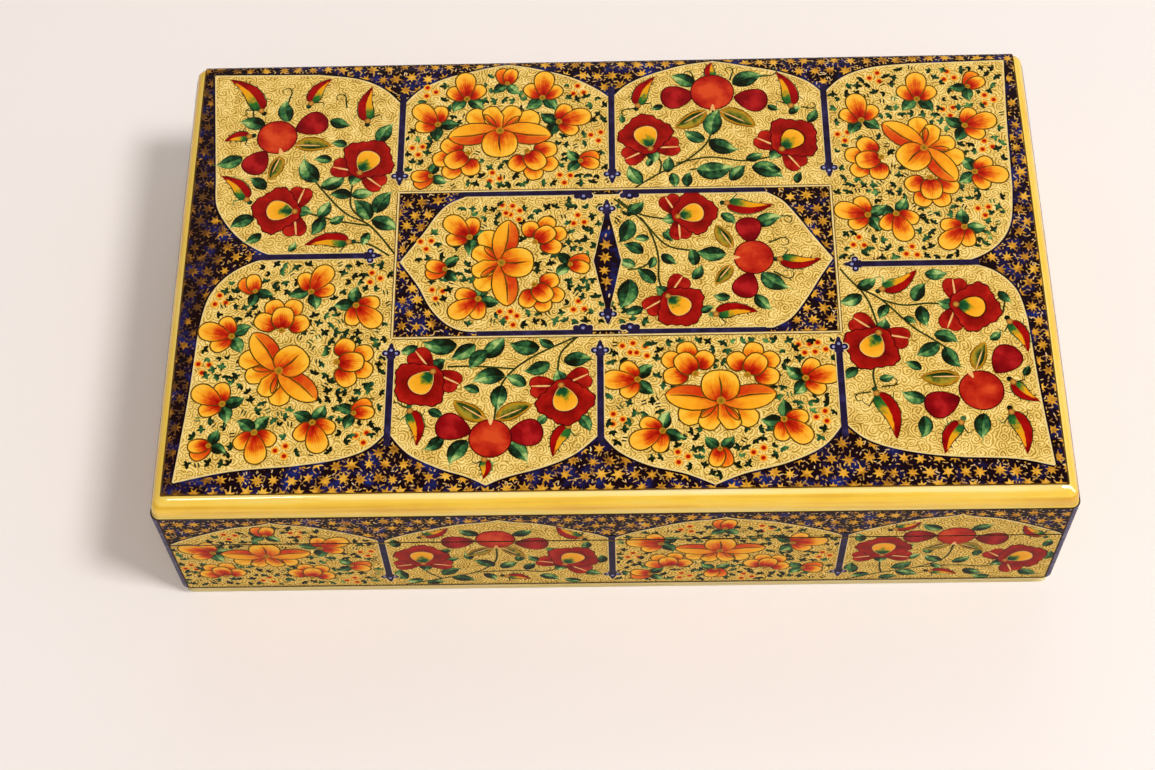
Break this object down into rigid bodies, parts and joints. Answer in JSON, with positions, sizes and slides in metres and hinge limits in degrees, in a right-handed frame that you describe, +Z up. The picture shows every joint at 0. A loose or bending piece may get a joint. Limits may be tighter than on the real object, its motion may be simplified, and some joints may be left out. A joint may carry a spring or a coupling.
{
  "type": "lacquer box",
  "caption": "Flat rectangular painted and lacquered box with a rounded-over hinged lid, let-in brass butt hinges and a velvet-lined tray.",
  "frame": {"origin": "middle of the underside of the closed box, on the surface that it stands on", "axes": "+X along the length, to the right of someone facing the front; +Y from the front to the hinges at the back; +Z up"},
  "size_m": [0.254, 0.153, 0.056],
  "materials": {
    "painted_ground": "hand-painted flowers on a gold-cream ground under clear gloss lacquer",
    "gold_edge_paint": "gold-yellow painted edge under clear gloss lacquer",
    "cream_edge_paint": "cream-gold painted edge under clear gloss lacquer",
    "hinge_brass": "brushed brass, lightly tarnished",
    "lining_velvet": "short-pile velvet over card"
  },
  "bodies": {
    "base": {"base_bottom_board": "cream_edge_paint", "base_front_wall": "painted_ground", "base_right_wall": "painted_ground", "base_back_wall": "painted_ground", "base_left_wall": "painted_ground", "base_front_lining": "lining_velvet", "base_back_lining": "lining_velvet", "base_left_lining": "lining_velvet", "base_right_lining": "lining_velvet", "base_floor_pad": "lining_velvet", "left_hinge_base_leaf": "hinge_brass", "left_hinge_pin": "hinge_brass", "left_hinge_base_screw_1": "hinge_brass", "left_hinge_base_screw_2": "hinge_brass", "right_hinge_base_leaf": "hinge_brass", "right_hinge_pin": "hinge_brass", "right_hinge_base_screw_1": "hinge_brass", "right_hinge_base_screw_2": "hinge_brass"},
    "lid": {"lid_top_board": "gold_edge_paint", "lid_front_rail": "painted_ground", "lid_right_rail": "painted_ground", "lid_back_rail": "painted_ground", "lid_left_rail": "painted_ground", "lid_front_lining": "lining_velvet", "lid_back_lining": "lining_velvet", "lid_left_lining": "lining_velvet", "lid_right_lining": "lining_velvet", "lid_pad": "lining_velvet", "left_hinge_lid_leaf": "hinge_brass", "left_hinge_lid_screw_1": "hinge_brass", "left_hinge_lid_screw_2": "hinge_brass", "right_hinge_lid_leaf": "hinge_brass", "right_hinge_lid_screw_1": "hinge_brass", "right_hinge_lid_screw_2": "hinge_brass"}
  },
  "joints": [
    {"name": "lid_hinge", "type": "hinge", "parent": "base", "child": "lid", "pos_m": [0, 0.0744, 0.0336], "axis": [-1, 0, 0], "range_deg": [0, 98]}
  ]
}
